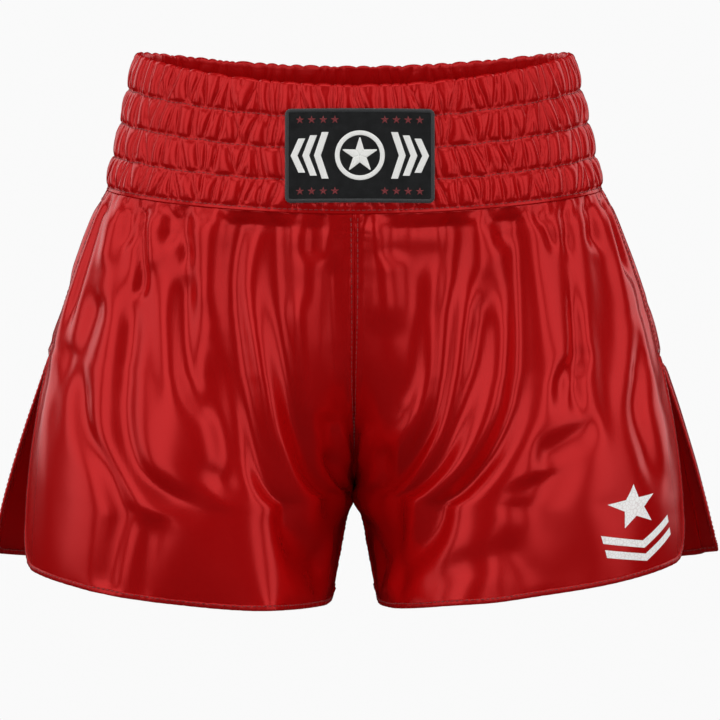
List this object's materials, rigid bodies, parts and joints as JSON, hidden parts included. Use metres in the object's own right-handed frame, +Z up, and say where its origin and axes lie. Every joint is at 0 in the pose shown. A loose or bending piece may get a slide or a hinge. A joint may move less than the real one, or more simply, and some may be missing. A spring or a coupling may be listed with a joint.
{
  "type": "boxing shorts",
  "caption": "Loose satin boxing shorts with a tall ruched elastic waistband, a woven front patch and side slits with rounded hem corners.",
  "frame": {"origin": "centre of the waist opening, level with the rim at the wearer's sides", "axes": "+Z up out of the waist opening, -Y to the wearer's front, +X to the wearer's left"},
  "size_m": [0.4654, 0.241, 0.3578],
  "materials": {
    "red_satin": "glossy polyester satin, deep red",
    "red_binding": "satin tape folded over the raw edge",
    "red_thread": "spun sewing thread, slightly darker than the satin",
    "elastic": "woven elastic tape, off-white, matte",
    "black_weave": "damask weave, matte black",
    "grey_border": "merrowed edge, dark grey",
    "white_embroidery": "raised white weave",
    "dark_red_embroidery": "raised dark red weave",
    "white_cord": "flat braided cord, white",
    "cord_tip": "crimped tip, slightly glossy",
    "white_print": "heat-pressed film, white",
    "white_tape": "thin polyester tape, blank"
  },
  "bodies": {
    "shorts": {"waistband_cover": "red_satin", "elastic_band_1": "elastic", "elastic_band_2": "elastic", "elastic_band_3": "elastic", "elastic_band_4": "elastic", "channel_stitching": "red_thread", "waist_seam_stitching": "red_thread", "patch_base": "black_weave", "patch_border": "grey_border", "patch_emblem": "white_embroidery", "patch_stars": "dark_red_embroidery", "drawcord": "white_cord", "cord_buttonholes": "red_thread", "left_front_panel": "red_satin", "right_front_panel": "red_satin", "left_back_panel": "red_satin", "right_back_panel": "red_satin", "left_front_hem_binding": "red_binding", "right_front_hem_binding": "red_binding", "left_back_hem_binding": "red_binding", "right_back_hem_binding": "red_binding", "crotch_gusset": "red_satin", "centre_seam_stitching": "red_thread", "side_seam_stitching": "red_thread", "inseam_stitching": "red_thread", "slit_bartacks": "red_thread"},
    "left_front": {"left_front_flap": "red_satin", "left_front_slit_binding": "red_binding", "leg_print": "white_print"},
    "right_front": {"right_front_flap": "red_satin", "right_front_slit_binding": "red_binding"},
    "left_back": {"left_back_flap": "red_satin", "left_back_slit_binding": "red_binding"},
    "right_back": {"right_back_flap": "red_satin", "right_back_slit_binding": "red_binding"},
    "left_cord": {"left_cord_end": "white_cord", "left_cord_tip": "cord_tip"},
    "right_cord": {"right_cord_end": "white_cord", "right_cord_tip": "cord_tip"},
    "label": {"care_label": "white_tape"}
  },
  "joints": [
    {"name": "left_front_swing", "type": "hinge", "parent": "shorts", "child": "left_front", "pos_m": [0.148, -0.1004, -0.212], "axis": [0, -0.0884, -0.9961], "range_deg": [0, 35]},
    {"name": "right_front_swing", "type": "hinge", "parent": "shorts", "child": "right_front", "pos_m": [-0.148, -0.1004, -0.212], "axis": [0, 0.0884, 0.9961], "range_deg": [0, 35]},
    {"name": "left_back_swing", "type": "hinge", "parent": "shorts", "child": "left_back", "pos_m": [0.148, 0.1094, -0.212], "axis": [0, -0.0599, 0.9982], "range_deg": [0, 35]},
    {"name": "right_back_swing", "type": "hinge", "parent": "shorts", "child": "right_back", "pos_m": [-0.148, 0.1094, -0.212], "axis": [0, 0.0599, -0.9982], "range_deg": [0, 35]},
    {"name": "left_cord_swing", "type": "hinge", "parent": "shorts", "child": "left_cord", "pos_m": [0.017, -0.0941, -0.02356], "axis": [1, 0, 0], "range_deg": [0, 75]},
    {"name": "right_cord_swing", "type": "hinge", "parent": "shorts", "child": "right_cord", "pos_m": [-0.017, -0.0941, -0.02356], "axis": [1, 0, 0], "range_deg": [0, 75]},
    {"name": "label_swing", "type": "hinge", "parent": "shorts", "child": "label", "pos_m": [0, 0.10715, -0.0955], "axis": [-1, 0, 0], "range_deg": [0, 70]}
  ]
}
